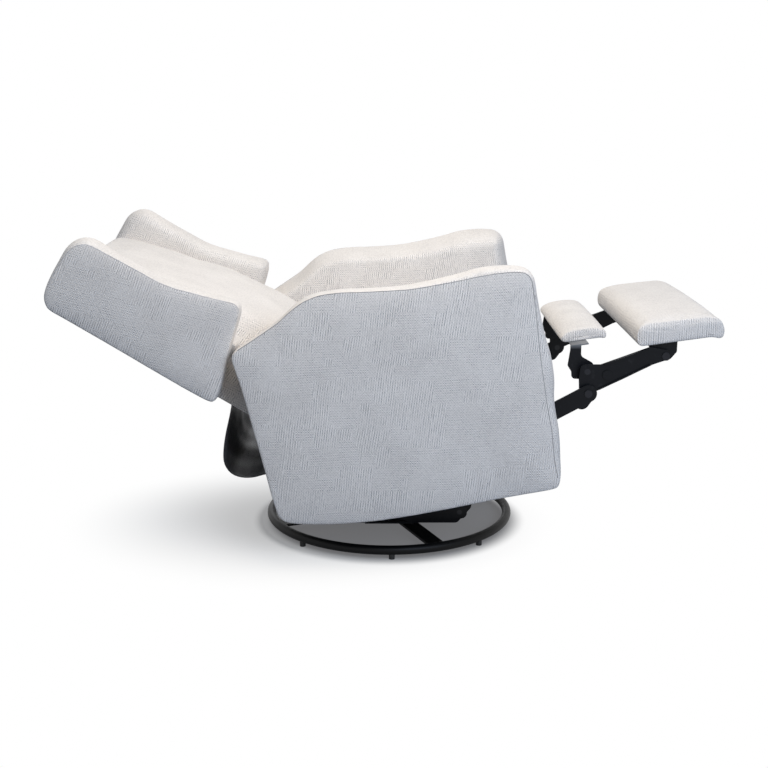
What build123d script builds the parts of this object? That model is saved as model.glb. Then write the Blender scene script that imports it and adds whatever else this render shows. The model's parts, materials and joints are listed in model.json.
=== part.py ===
from build123d import *
import math
import os

# Swivel glider recliner, laid back with its footrest out.
# Millimetres. +Z is up, the front is -Y and the sitter's left is +X.
# The origin is on the floor, on the axis of the ring base.
# Side outlines are drawn as (forward, height), where forward is -Y.

# Driving dimensions ---------------------------------------------------------

ring_radius = 310.0          # outside of the ring base
ring_tube = 22.0             # diameter of the ring's tube
foot_height = 10.0
foot_radius = 7.0
foot_count = 8
foot_angle = 1.0             # turn of the ring of feet
cross_width = 40.0
cross_thickness = 6.0
cross_angle = 23.0           # turn of the cross of flat bars

swivel_plate = 4.0           # thickness of each swivel plate
swivel_radius = 85.0
race_height = 5.0
race_radius = 70.0
race_width = 14.0
spindle_radius = 11.0
spindle_clearance = 0.05

glide_plate_span = 150.0     # centre to the inner face of a glide bracket
glide_plate = 4.0
glide_bracket_bottom = 37.0
hanger_length = 100.0
hanger_spacing = 170.0       # centre to each row of hangers
hanger_top = 168.0
hanger_width = 26.0
hanger_plate = 4.0
stack_gap = 2.0              # between the plates of the glide
pin_radius = 6.0
pin_clearance = 0.05
chassis_height = 252.0
chassis_base = 52.0
chassis_tube_radius = 11.0
chassis_tube_height = 208.0
chassis_tube_spread = 110.0
tilt_height = 235.0
tilt_radius = 9.0
tilt_bracket_span = 206.0
tilt_bracket_plate = 4.0

seat_width = 560.0           # between the arms
arm_width = 120.0
side_plate = 4.0
side_gap = 4.0               # cushions to the back's brackets
body_pitch = 10.0            # how far the body leans back
seat_rear = -190.0           # where the deck's height is set
seat_depth = 530.0
seat_notch = 26.0            # cut from the rear corners, round the back's brackets
seat_base = 328.0            # underside of the seat at its rear edge
seat_thickness = 92.0
seat_crown = 16.0
seat_draw = 12.0
rail_thickness = 22.0
rail_width = 52.0
rear_rail_width = 35.0
spring_wire = 3.8
spring_count = 5
spring_pitch = 46.0
spring_swing = 22.0
frame_board = 19.0
frame_inset = 34.0
soft_clearance = 0.3
cloth = 1.6
cloth_width = 500.0

recline_forward = -190.0
recline_height = 400.0
recline_pin = 8.0
back_rise = 30.7             # back above the level
back_length = 498.0
head_reach = 38.0            # the pillow's head past the back panel
pillow_middle = 152.0        # thickness of the pillow from the back's rear face
pillow_lumbar = 188.0
back_foot_forward = -325.0
back_foot_height = 339.0
back_lower_width = 516.0
back_upper_width = 578.0
back_step = 128.0            # where the back widens over the arms
back_skin = 8.0
back_rail = 16.0
back_stile = 20.0
back_stile_width = 26.0
wing_width = 80.0

link_gap = 6.0               # between the plates of the footrest linkage
link_plate = 4.0
lower_link_width = 40.0
channel_flange = 5.0
flange_plate = 3.0
rivet_radius = 7.0
rivet_head = 9.0
stop_rivet = 11.0           # round stop pressed in the channel
drive_forward, drive_height = 292.0, 300.0      # footrest links on the body
knee_run, knee_rise = 162.0, 89.0               # drive pivot to the knee rivet
toe_run, toe_rise = 175.0, 86.0                 # knee rivet to the toe rivet
flip_run, flip_rise = -2.0, 49.0                # knee rivet to the flipper's rivet
ottoman_run, ottoman_rise = -62.0, 24.0         # toe rivet to the ottoman's rear edge
flipper_run, flipper_rise = -48.0, 56.0         # flipper's rivet to its rear edge

ottoman_width = 544.0
ottoman_length = 190.0
ottoman_thickness = 44.0
ottoman_crown = 14.0
ottoman_slope = 7.8
flipper_width = 400.0
flipper_length = 100.0
flipper_thickness = 27.0
flipper_crown = 8.0
pad_draw = 9.0
board = 12.0
board_inset = 14.0

lever_forward, lever_height = 95.0, 520.0
lever_length = 96.0
lever_width = 18.0

# Faces and planes that follow -----------------------------------------------

arm_inner = seat_width / 2
arm_outer = arm_inner + arm_width
plate_inner = arm_inner - side_plate
lower_out = plate_inner - link_gap
ottoman_out = lower_out - link_plate - link_gap
bracket_out = ottoman_out - link_plate - link_gap
flipper_out = bracket_out - link_plate - link_gap
bracket_plane = glide_plate_span + glide_plate
hanger_plane = bracket_plane + stack_gap
chassis_plane = hanger_plane + hanger_plate + stack_gap
cushion_half = plate_inner - 1.0
ring_centre = foot_height + ring_tube / 2
race_bottom = ring_centre + cross_thickness / 2 + swivel_plate
upper_plate_bottom = race_bottom + race_height


def side_plane(x):
    """Plane across the chair: its own x is forward and its own y is up."""
    return Plane(origin=(x, 0, 0), x_dir=(0, -1, 0), z_dir=(-1, 0, 0))


def slab(face, low, high):
    """A side outline made solid from x = low to x = high."""
    return extrude(side_plane(high) * face, amount=high - low)


def outline(corners):
    """Closed side outline from (forward, height, corner radius)."""
    points = [(forward, height) for forward, height, _ in corners]
    radii = [radius for _, _, radius in corners]
    return make_face(FilletPolyline(*points, radius=radii, close=True))


def disc(forward, height, radius):
    return Pos(forward, height) * Circle(radius)


def rod(forward, height, radius, low, high):
    return slab(disc(forward, height, radius), low, high)


def bar(start, end, width):
    """Flat link with round ends, drawn from pivot to pivot."""
    run, rise = end[0] - start[0], end[1] - start[1]
    middle = Pos(start[0] + run / 2, start[1] + rise / 2)
    turn = Rot(0, 0, math.degrees(math.atan2(rise, run)))
    return middle * turn * SlotCenterToCenter(math.hypot(run, rise), width)


def other_side(shape):
    return mirror(shape, about=Plane.YZ)


def solids(*shapes):
    """Separate solids kept together in one node."""
    return Compound(children=[solid for shape in shapes for solid in shape.solids()])


def save(name, shape):
    export_step(shape, "parts/" + name + ".step")


def save_pair(name, left):
    save(name + "_left", left)
    save(name + "_right", other_side(left))


def deck(forward):
    """Height of the seat's underside, which leans with the body."""
    return seat_base + (forward - seat_rear) * math.tan(math.radians(body_pitch))


def rail_top(forward):
    """Height of the seat rails' upper faces, a spring's wire below the deck."""
    return deck(forward) - spring_wire - soft_clearance


def back_point(along, out):
    """Point of the back, from its lower rear edge: up the back and out of it."""
    rise = math.radians(back_rise)
    forward = back_foot_forward - along * math.cos(rise) + out * math.sin(rise)
    height = back_foot_height + along * math.sin(rise) + out * math.cos(rise)
    return forward, height


def back_outline(corners):
    return outline([back_point(along, out) + (radius,) for along, out, radius in corners])


def bowed(half_length, half_width, bow, corner):
    """Plan of a pad whose four sides bow out between rounded corners."""
    right = ThreePointArc((half_length, -half_width), (half_length + bow, 0), (half_length, half_width))
    top = ThreePointArc((half_length, half_width), (0, half_width + bow), (-half_length, half_width))
    left = ThreePointArc((-half_length, half_width), (-half_length - bow, 0), (-half_length, -half_width))
    bottom = ThreePointArc((-half_length, -half_width), (0, -half_width - bow), (half_length, -half_width))
    face = make_face([right, top, left, bottom])
    return fillet(face.vertices(), corner)


def pad_section(half, thickness, crown, draw):
    """Cross-section of a pad: flat base, drawn-in sides and a crowned top."""
    base = Line((-half + draw, 0), (half - draw, 0))
    right = ThreePointArc((half - draw, 0), (half, thickness * 0.55), (half - draw, thickness))
    top = ThreePointArc((half - draw, thickness), (0, thickness + crown), (-half + draw, thickness))
    left = ThreePointArc((-half + draw, thickness), (-half, thickness * 0.55), (-half + draw, 0))
    return make_face([base, right, top, left])


def pad(length, width, thickness, crown, draw, corner):
    """Stuffed pad with its base on z = 0: length runs along Y, width along X."""
    across = pad_section(width / 2, thickness, crown, draw)
    along = pad_section(length / 2, thickness, crown, draw)
    bow = draw * 0.4
    plan = bowed(width / 2 - bow, length / 2 - bow, bow, corner)
    tall = thickness + crown + draw
    body = extrude(Plane.XZ * across, amount=length, both=True)
    body = body & extrude(Plane.YZ * along, amount=width, both=True)
    return body & extrude(Plane.XY * plan, amount=tall)


def place(shape, forward, height, slope):
    """Put a pad with its rear lower edge at a point, rising forward by a slope."""
    return Pos(0, -forward, height) * Rot(-slope, 0, 0) * shape


# Ring base --------------------------------------------------------------------

def ring():
    centre_radius = ring_radius - ring_tube / 2
    return Pos(0, 0, ring_centre) * Torus(centre_radius, ring_tube / 2)


def cross_bars():
    inside = ring_radius - ring_tube / 2
    flat = Box(2 * inside, cross_width, cross_thickness)
    cross = Rot(0, 0, cross_angle) * flat + Rot(0, 0, cross_angle + 90) * flat
    cross = Pos(0, 0, ring_centre) * cross
    hole = Pos(0, 0, ring_centre) * Cylinder(spindle_radius, cross_thickness)
    return cross - hole - ring()


def feet():
    centre_radius = ring_radius - ring_tube / 2
    tall = ring_centre
    each = []
    for index in range(foot_count):
        turn = Rot(0, 0, foot_angle + index * 360 / foot_count)
        foot = Pos(centre_radius, 0, tall / 2) * Cylinder(foot_radius, tall)
        each.append(turn * foot - ring())
    return solids(*each)


def swivel_lower():
    bottom = race_bottom - swivel_plate
    plate = Pos(0, 0, bottom + swivel_plate / 2) * Cylinder(swivel_radius, swivel_plate)
    return plate - Pos(0, 0, bottom) * Cylinder(spindle_radius, 4 * swivel_plate)


def spindle():
    """Post through both plates, with a head over the upper one."""
    bottom = ring_centre - cross_thickness / 2
    top = upper_plate_bottom + swivel_plate + stack_gap
    post = Pos(0, 0, (bottom + top) / 2) * Cylinder(spindle_radius, top - bottom)
    head = Pos(0, 0, top + swivel_plate / 2) * Cylinder(spindle_radius + 6, swivel_plate)
    return post + head


def race():
    tall = race_height
    band = Cylinder(race_radius, tall) - Cylinder(race_radius - race_width, tall)
    return Pos(0, 0, race_bottom + tall / 2) * band


def swivel_upper():
    wide = 2 * glide_plate_span
    plate = Box(wide, 2 * swivel_radius * 0.7, swivel_plate)
    plate = Pos(0, 0, upper_plate_bottom + swivel_plate / 2) * plate
    bore = spindle_radius + spindle_clearance
    return plate - Pos(0, 0, upper_plate_bottom) * Cylinder(bore, 4 * swivel_plate)


# Glide ------------------------------------------------------------------------

def glide_bracket():
    """Side plate that carries the upper pins; its front lug shows under the seat."""
    reach = hanger_spacing + 20
    top = hanger_top + 16
    low = glide_bracket_bottom
    corners = [
        (-165, low, 12), (-60, low, 8), (-20, low + 10, 20), (20, low + 10, 20), (60, low, 8),
        (165, low, 12), (reach + 10, low + 40, 16), (reach, top, 14), (-reach, top, 14),
        (-reach - 10, low + 40, 16),
    ]
    face = outline(corners)
    for forward in (-hanger_spacing, hanger_spacing):
        face = face - disc(forward, hanger_top, pin_radius)
    return slab(face, glide_plate_span, bracket_plane)


def hanger(forward):
    low = hanger_top - hanger_length
    face = bar((forward, low), (forward, hanger_top), hanger_width)
    for height in (low, hanger_top):
        face = face - disc(forward, height, pin_radius + pin_clearance)
    return slab(face, hanger_plane, hanger_plane + hanger_plate)


def upper_pins():
    """Pins fixed in the glide brackets, with a head outside each hanger."""
    each = []
    for forward in (-hanger_spacing, hanger_spacing):
        end = hanger_plane + hanger_plate + stack_gap * 0.4
        pin = rod(forward, hanger_top, pin_radius, glide_plate_span, end)
        pin = pin + rod(forward, hanger_top, pin_radius + 3, end, end + 1.0)
        each += [pin, other_side(pin)]
    return solids(*each)


def lower_pins():
    """Pins fixed in the chassis rails, with a head inside each hanger."""
    low = hanger_top - hanger_length
    each = []
    for forward in (-hanger_spacing, hanger_spacing):
        start = hanger_plane - stack_gap * 0.4
        pin = rod(forward, low, pin_radius, start, chassis_plane + glide_plate)
        pin = pin + rod(forward, low, pin_radius + 3, start - 1.0, start)
        each += [pin, other_side(pin)]
    return solids(*each)


def chassis_rail():
    reach = hanger_spacing + 18
    # the upper pins' heads pass in front of the rail's hollowed shoulders
    corners = [
        (-reach, chassis_base, 14), (reach, chassis_base, 14), (reach, chassis_base + 36, 10),
        (110, 120, 30), (chassis_tube_spread + 22, chassis_tube_height + 14, 12),
        (30, chassis_height, 20), (-30, chassis_height, 20),
        (-chassis_tube_spread - 22, chassis_tube_height + 14, 12), (-110, 120, 30),
        (-reach, chassis_base + 36, 10),
    ]
    face = outline(corners)
    low = hanger_top - hanger_length
    for forward in (-hanger_spacing, hanger_spacing):
        face = face - disc(forward, low, pin_radius)
    face = face - disc(0, tilt_height, tilt_radius)
    return slab(face, chassis_plane, chassis_plane + glide_plate)


def chassis_tubes():
    each = []
    for forward in (-chassis_tube_spread, chassis_tube_spread):
        each.append(rod(forward, chassis_tube_height, chassis_tube_radius, -chassis_plane, chassis_plane))
    return solids(*each)


def tilt_shaft():
    half = tilt_bracket_span + tilt_bracket_plate + stack_gap
    return rod(0, tilt_height, tilt_radius, -half, half)


# Seat body --------------------------------------------------------------------

def tilt_bracket():
    """Plate under both seat rails, hung on the tilt shaft."""
    under = deck(0) - rail_top(0) + rail_thickness / math.cos(math.radians(body_pitch))
    rear, front = seat_rear - 45, seat_rear + 428
    deep = 18
    corners = [
        (rear, deck(rear) - under, 0), (rear, deck(rear) - under - deep, 6),
        (-85, deck(-85) - under - deep, 30), (-26, tilt_height - 22, 20), (26, tilt_height - 22, 20),
        (75, deck(75) - under - deep, 30), (front, deck(front) - under - deep, 6),
        (front, deck(front) - under, 0),
    ]
    face = outline(corners) - disc(0, tilt_height, tilt_radius + pin_clearance)
    return slab(face, tilt_bracket_span, tilt_bracket_span + tilt_bracket_plate)


def seat_rail(rear, width):
    """Board across the chair under the seat, leaning with the deck."""
    top = rail_top(rear)
    board_face = Pos(rear, top) * Rot(0, 0, body_pitch) * Rectangle(
        width, rail_thickness, align=(Align.MIN, Align.MAX))
    return slab(board_face, -plate_inner, plate_inner)


def seat_springs():
    """Zigzag springs laid from the rear rail to the front rail."""
    rear = seat_rear - 30
    run = seat_depth - 92
    turns = int(run / spring_pitch)
    each = []
    for index in range(spring_count):
        centre = (index - (spring_count - 1) / 2) * 100
        points = [(centre, 0)]
        for turn in range(turns):
            side = 1 if turn % 2 else -1
            along = (turn + 0.5) * run / turns
            points += [(centre + side * spring_swing, along - run / turns * 0.25),
                       (centre + side * spring_swing, along + run / turns * 0.25)]
        points.append((centre, run))
        path = FilletPolyline(*points, radius=7)
        section = Plane(origin=path @ 0, z_dir=path % 0) * Circle(spring_wire / 2)
        wire = sweep(section, path=path)
        height = rail_top(rear) + spring_wire / 2 / math.cos(math.radians(body_pitch)) + 0.02
        each.append(Pos(0, -rear, height) * Rot(-body_pitch, 0, 0) * mirror(wire, about=Plane.XZ))
    return solids(*each)


def seat_cushion():
    body = pad(seat_depth, 2 * cushion_half, seat_thickness, seat_crown, seat_draw, 22)
    body = Pos(0, -seat_depth / 2, 0) * body
    body = place(body, seat_rear, deck(seat_rear), body_pitch)
    side = back_lower_width / 2 - side_gap
    under = deck(seat_rear) - seat_thickness
    over = deck(seat_rear) + 2 * seat_thickness
    corner = slab(outline([
        (seat_rear - seat_thickness, under, 0), (seat_rear + seat_notch, under, 0),
        (seat_rear + seat_notch, over, 0), (seat_rear - seat_thickness, over, 0),
    ]), side, arm_inner)
    return body - corner - other_side(corner)


def side_plate_shape():
    corners = [
        (-240, 275, 15), (60, 262, 60), (200, 268, 60), (drive_forward + 26, 274, 22),
        (drive_forward + 26, 326, 22), (252, 406, 15), (170, 392, 30), (-40, 352, 60),
        (recline_forward + 28, recline_height + 28, 24), (recline_forward - 28, recline_height + 28, 24),
        (-240, 330, 30),
    ]
    face = outline(corners)
    return slab(face, plate_inner, arm_inner)


def side_pins():
    """Studs on the side plates: the back turns on one pair, the footrest on the other."""
    start = back_lower_width / 2 + 1
    recline = rod(recline_forward, recline_height, recline_pin, start, plate_inner)
    foot = rod(drive_forward, drive_height, rivet_radius, lower_out - link_plate, plate_inner)
    return solids(recline, foot, other_side(recline), other_side(foot))


def arm_corners():
    return [
        (-344, 507, 14), (-238, 581, 60), (-180, 634, 50), (-60, 645, 60), (180, 680, 60),
        (306, 704, 26), (344, 545, 60), (386, 205, 12), (130, 157, 300), (-60, 121, 160),
        (-250, 121, 26),
    ]


def arm():
    """Upholstered arm with soft edges and a pocket for its frame."""
    body = slab(outline(arm_corners()), arm_inner, arm_outer)
    outer = body.faces().sort_by(Axis.X)[-1]
    body = fillet(outer.edges(), 10)
    return body - arm_frame()


def arm_frame():
    """Board inside the arm that the side plate is bolted to."""
    inset = offset(outline(arm_corners()), amount=-frame_inset, kind=Kind.INTERSECTION)
    return slab(inset, arm_inner + 12, arm_inner + 12 + frame_board)


def rear_rail():
    """Board low across the rear, between the arms."""
    face = outline([(-250, 138, 0), (-228, 138, 0), (-228, 202, 0), (-250, 202, 0)])
    return slab(face, -arm_inner, arm_inner)


def rear_cloth():
    """Slack cloth from the back's lower edge, in a loop, to the rear rail."""
    top = back_point(44, 0)
    path = FilletPolyline(
        (top[0], top[1] - 1.5), (-386, 268), (-384, 206), (-343, 182), (-292, 196),
        (-250 - cloth / 2, 192), (-250 - cloth / 2, 160), radius=[38, 26, 40, 40, 6])
    face = trace(path, line_width=cloth)
    return slab(face, -cloth_width / 2, cloth_width / 2)


def lever_plate():
    face = Pos(lever_forward + 30, lever_height) * RectangleRounded(104, 44, 10)
    plate = slab(face, plate_inner, arm_inner)
    return plate + rod(lever_forward, lever_height, 4, plate_inner - 14, plate_inner)


def release_lever():
    """Latch handle on the inside of the left arm."""
    tip = (lever_forward + lever_length - lever_width, lever_height)
    face = bar((lever_forward, lever_height), tip, lever_width)
    face = face - disc(lever_forward, lever_height, 4 + pin_clearance)
    body = slab(face, plate_inner - 13, plate_inner - 3)
    return fillet(body.faces().sort_by(Axis.X)[0].edges(), 2)


# Back -------------------------------------------------------------------------

def outside_back():
    """Fabric panel behind the frame, turned up over both ends."""
    depth = back_skin + back_rail + back_stile
    low = back_outline([
        (0, 0, 4), (back_step, 0, 0), (back_step, back_skin, 0), (back_skin, back_skin, 0),
        (back_skin - 10, depth, 0), (-10, depth, 0),
    ])
    high = back_outline([
        (back_step, 0, 0), (back_length, 0, 10), (back_length, depth, 0),
        (back_length - back_skin, depth, 0), (back_length - back_skin, back_skin, 0),
        (back_step, back_skin, 0),
    ])
    narrow = slab(low, -back_lower_width / 2, back_lower_width / 2)
    wide = slab(high, -back_upper_width / 2, back_upper_width / 2)
    return narrow + wide


def back_rails():
    each = []
    for along, half in ((30, back_lower_width / 2), (back_step + 20, wing_inner()), (300, wing_inner()),
                        (back_length - 70, wing_inner())):
        face = back_outline([
            (along, back_skin, 0), (along + 45, back_skin, 0),
            (along + 45, back_skin + back_rail, 0), (along, back_skin + back_rail, 0),
        ])
        each.append(slab(face, -half, half))
    return solids(*each)


def back_stiles():
    low = back_skin + back_rail
    face = back_outline([
        (10, low, 0), (back_length - 12, low, 0), (back_length - 12, low + back_stile, 0),
        (10, low + back_stile, 0),
    ])
    out = back_lower_width / 2
    stile = slab(face, out - back_stile_width, out)
    return solids(stile, other_side(stile))


def wing_inner():
    return back_upper_width / 2


def back_cushion():
    """Pillow of the back: lumbar swell, thinner at the head, crowned across."""
    base = back_skin + back_rail + back_stile
    rear = Line((-24, base), (back_length + 2, base))
    brow = (back_length + head_reach * 0.4, 96)
    middle = (back_length * 0.6, pillow_middle)
    heel = (-40, pillow_lumbar + 2)
    head = ThreePointArc((back_length + 2, base), (back_length + head_reach, 70), brow)
    upper = ThreePointArc(brow, (back_length * 0.84, 125), middle)
    lumbar = ThreePointArc(middle, (back_length * 0.24, pillow_lumbar), heel)
    foot = ThreePointArc(heel, (-60, (pillow_lumbar + base) / 2), (-24, base))
    face = make_face([rear, head, upper, lumbar, foot])
    # (along, out) turned into (forward, height)
    rise = math.radians(back_rise)
    flipped = mirror(face, about=Plane.YZ)
    placed = Pos(back_foot_forward, back_foot_height) * Rot(0, 0, -back_rise) * flipped
    body = slab(placed, -wing_inner(), wing_inner())
    # across: crowned front, sides drawn in; made square to the back
    across = pad_section(wing_inner() - 1, pillow_lumbar + 2, 8, 8)
    tall = extrude(Plane.XY * across, amount=back_length + 80, both=True)
    across_body = Pos(0, -back_foot_forward, back_foot_height) * Rot(back_rise, 0, 0) * (
        Rot(90, 0, 0) * tall)
    body = body & across_body
    # plan: narrow between the arms
    half_low = back_lower_width / 2 - side_gap
    narrow = Pos(half_low + arm_width / 2, -back_foot_forward, back_foot_height) * Rot(
        back_rise, 0, 0) * Box(arm_width, 2 * back_step, 2 * back_length)
    return body - narrow - other_side(narrow)


def wing_corners():
    return [
        (-755, 607, 12), (-740, 670, 60), (-685, 762, 26), (-622, 760, 40), (-500, 668, 120),
        (-330, 612, 0), (-323, 607, 8), (-352, 520, 0), (-390, 384, 14),
    ]


def wing():
    body = slab(outline(wing_corners()), wing_inner(), wing_inner() + wing_width)
    outer = body.faces().sort_by(Axis.X)[-1]
    return fillet(outer.edges(), 7)


def back_bracket():
    """Steel plate from the recline pin to the side of the back's stile."""
    low = back_skin + back_rail
    near = back_point(30, low)
    far = back_point(190, low)
    near_top = back_point(30, low + back_stile)
    far_top = back_point(190, low + back_stile)
    reach = 22
    corners = [
        near + (4,), far + (4,), far_top + (4,), near_top + (0,),
        (recline_forward - 8, recline_height + reach, 16), (recline_forward + reach, recline_height + 6, 16),
        (recline_forward + 4, recline_height - reach, 16),
    ]
    face = outline(corners) - disc(recline_forward, recline_height, recline_pin + pin_clearance)
    start = back_lower_width / 2
    return slab(face, start, start + link_plate)


# Footrest ---------------------------------------------------------------------

drive = (drive_forward, drive_height)
knee = (drive[0] + knee_run, drive[1] + knee_rise)
toe = (knee[0] + toe_run, knee[1] + toe_rise)
flip = (knee[0] + flip_run, knee[1] + flip_rise)


def around(pivot, corners):
    """Outline from corners given as (forward, height, radius) from a pivot."""
    return outline([(pivot[0] + run, pivot[1] + rise, radius) for run, rise, radius in corners])


def lower_link():
    """Long link from the body to the knee, with a lobe beside its end."""
    face = bar(drive, knee, lower_link_width)
    lobe = bar((knee[0] - 14, knee[1] - 20), knee, lower_link_width - 6)
    face = face + lobe - disc(*drive, rivet_radius + pin_clearance)
    face = face - disc(*knee, rivet_radius + pin_clearance)
    return slab(face, lower_out - link_plate, lower_out)


def ottoman_link():
    """Bent channel from the knee to the toe, that carries the flipper arm too."""
    face = around(knee, [
        (-19, -12, 10), (-21, 30, 12), (-18, flip_rise + 17, 12), (28, flip_rise + 17, 10),
        (toe_run - 36, toe_rise + 21, 6), (toe_run + 6, toe_rise + 13, 8), (toe_run + 12, toe_rise - 6, 8),
        (toe_run - 29, toe_rise - 20, 10), (79, 32, 20), (16, 2, 14), (6, -17, 10),
    ])
    face = face - disc(*flip, rivet_radius)
    face = face - disc(*toe, rivet_radius + pin_clearance)
    face = face - disc(*knee, rivet_radius)
    link = slab(face, ottoman_out - link_plate, ottoman_out)
    for start, end in (((37, flip_rise + 18), (toe_run - 41, toe_rise + 17)),
                       ((26, 9.5), (toe_run - 36, toe_rise - 20.5))):
        edge = bar((knee[0] + start[0], knee[1] + start[1]), (knee[0] + end[0], knee[1] + end[1]), flange_plate)
        link = link + slab(edge, ottoman_out, ottoman_out + channel_flange)
    return link + rod(knee[0] + 43, knee[1] + 42, stop_rivet, ottoman_out, ottoman_out + 3)


def knee_pins():
    """Rivets in the ottoman links that the lower links turn on."""
    pin = rod(*knee, rivet_radius, ottoman_out - link_plate, lower_out)
    head = rod(*knee, rivet_head, lower_out, lower_out + 3)
    both = pin + head
    return solids(both, other_side(both))


def flip_pins():
    """Rivets in the ottoman links that the flipper arms turn on."""
    pin = rod(*flip, rivet_radius, flipper_out - link_plate - 1, ottoman_out)
    return solids(pin, other_side(pin))


def flipper_point(along, out):
    """Point of the flipper's base, from its rear edge."""
    slope = math.radians(ottoman_slope)
    start = (flip[0] + flipper_run, flip[1] + flipper_rise)
    return (start[0] + along * math.cos(slope) - out * math.sin(slope),
            start[1] + along * math.sin(slope) + out * math.cos(slope))


def ottoman_point(along, out):
    """Point of the ottoman's base, from its rear edge."""
    slope = math.radians(ottoman_slope)
    start = (toe[0] + ottoman_run, toe[1] + ottoman_rise)
    return (start[0] + along * math.cos(slope) - out * math.sin(slope),
            start[1] + along * math.sin(slope) + out * math.cos(slope))


def flipper_arm():
    """Broad upright from the ottoman link, with a foot turned in under the board."""
    face = around(flip, [
        (-37, 78, 0), (-13, 78, 0), (-13, 32, 12), (16, 16, 10), (18, -10, 10), (-6, -22, 12),
        (-33, -20, 8), (-34, -4, 6), (-43, 10, 8), (-38, 46, 6),
    ])
    face = face - disc(*flip, rivet_radius + pin_clearance)
    trim = outline([
        flipper_point(-60, 0) + (0,), flipper_point(160, 0) + (0,),
        flipper_point(160, 60) + (0,), flipper_point(-60, 60) + (0,),
    ])
    face = face - trim
    arm_plate = slab(face, flipper_out - link_plate, flipper_out)
    foot = outline([
        flipper_point(12, -3) + (0,), flipper_point(52, -3) + (0,),
        flipper_point(52, 0) + (0,), flipper_point(12, 0) + (0,),
    ])
    return arm_plate + slab(foot, flipper_width / 2 - 50, flipper_out)


def flipper_board():
    face = outline([
        flipper_point(board_inset, 0) + (0,), flipper_point(flipper_length - board_inset, 0) + (0,),
        flipper_point(flipper_length - board_inset, board) + (0,), flipper_point(board_inset, board) + (0,),
    ])
    half = flipper_width / 2 - board_inset
    return slab(face, -half, half)


def flipper_pad():
    body = pad(flipper_length, flipper_width, flipper_thickness, flipper_crown, pad_draw, 12)
    body = Pos(0, -flipper_length / 2, 0) * body
    return place(body, *flipper_point(0, 0), ottoman_slope) - flipper_board()


def ottoman_bracket():
    """Angle from the toe rivet to the underside of the ottoman's board."""
    corners = [
        ottoman_point(20, 0) + (0,), ottoman_point(90, 0) + (0,), (toe[0] + 27, toe[1] + 8, 4),
        (toe[0] + 14, toe[1] - 8, 5), (toe[0] + 6, toe[1] - 13, 5), (toe[0] - 14, toe[1] - 13, 10),
    ]
    face = outline(corners) - disc(*toe, rivet_radius)
    plate = slab(face, bracket_out - link_plate, bracket_out)
    foot = outline([
        ottoman_point(24, -3) + (0,), ottoman_point(86, -3) + (0,),
        ottoman_point(86, 0) + (0,), ottoman_point(24, 0) + (0,),
    ])
    return plate + slab(foot, bracket_out - 30, bracket_out)


def toe_pins():
    """Rivets in the ottoman brackets, through the ends of the links."""
    pin = rod(*toe, rivet_radius, bracket_out - link_plate, ottoman_out)
    head = rod(*toe, rivet_head, ottoman_out, ottoman_out + 3)
    both = pin + head
    return solids(both, other_side(both))


def ottoman_board():
    face = outline([
        ottoman_point(board_inset, 0) + (0,), ottoman_point(ottoman_length - board_inset, 0) + (0,),
        ottoman_point(ottoman_length - board_inset, board) + (0,), ottoman_point(board_inset, board) + (0,),
    ])
    half = ottoman_width / 2 - board_inset
    return slab(face, -half, half)


def ottoman_pad():
    body = pad(ottoman_length, ottoman_width, ottoman_thickness, ottoman_crown, pad_draw, 22)
    body = Pos(0, -ottoman_length / 2, 0) * body
    return place(body, *ottoman_point(0, 0), ottoman_slope) - ottoman_board()


# All nodes --------------------------------------------------------------------

os.makedirs("parts", exist_ok=True)

save("base_ring", ring())
save("cross_bars", cross_bars())
save("base_feet", feet())
save("swivel_lower_plate", swivel_lower())
save("swivel_spindle", spindle())

save("swivel_race", race())
save("swivel_upper_plate", swivel_upper())
save_pair("glide_bracket", glide_bracket())
save("hanger_upper_pins", upper_pins())

save_pair("front_hanger", hanger(hanger_spacing))
save_pair("rear_hanger", hanger(-hanger_spacing))

save_pair("chassis_rail", chassis_rail())
save("chassis_tubes", chassis_tubes())
save("hanger_lower_pins", lower_pins())
save("tilt_shaft", tilt_shaft())

save_pair("tilt_bracket", tilt_bracket())
save("seat_front_rail", seat_rail(seat_rear + 375, rail_width))
save("seat_rear_rail", seat_rail(seat_rear - 45, rear_rail_width))
save("seat_springs", seat_springs())
save("seat_cushion", seat_cushion())
save_pair("side_plate", side_plate_shape())
save("side_pins", side_pins())
save_pair("arm", arm())
save_pair("arm_frame", arm_frame())
save("rear_rail", rear_rail())
save("rear_cloth", rear_cloth())
save("lever_plate", lever_plate())
save("release_lever", release_lever())

save("outside_back", outside_back())
save("back_rails", back_rails())
save("back_stiles", back_stiles())
save("back_cushion", back_cushion())
save_pair("wing", wing())
save_pair("back_bracket", back_bracket())

save_pair("lower_link", lower_link())
save_pair("ottoman_link", ottoman_link())
save("knee_pins", knee_pins())
save("flip_pins", flip_pins())
save_pair("flipper_arm", flipper_arm())
save("flipper_board", flipper_board())
save("flipper_pad", flipper_pad())
save_pair("ottoman_bracket", ottoman_bracket())
save("toe_pins", toe_pins())
save("ottoman_board", ottoman_board())
save("ottoman_pad", ottoman_pad())
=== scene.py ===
import json
import math

import bmesh
import bpy
from mathutils import Matrix, Vector, kdtree


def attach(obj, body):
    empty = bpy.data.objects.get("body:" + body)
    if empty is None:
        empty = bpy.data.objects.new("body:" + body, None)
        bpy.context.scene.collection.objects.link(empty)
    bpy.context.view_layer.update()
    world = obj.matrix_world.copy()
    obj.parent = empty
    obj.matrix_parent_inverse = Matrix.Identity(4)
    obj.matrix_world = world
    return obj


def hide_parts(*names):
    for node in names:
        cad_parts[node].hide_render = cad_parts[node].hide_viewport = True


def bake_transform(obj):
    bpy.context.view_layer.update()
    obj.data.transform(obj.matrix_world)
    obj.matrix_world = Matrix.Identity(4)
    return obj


# Swivel glider recliner, laid back with the footrest out.
# The front is -Y and the sitter's left is +X. Side outlines are (forward, height).

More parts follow.
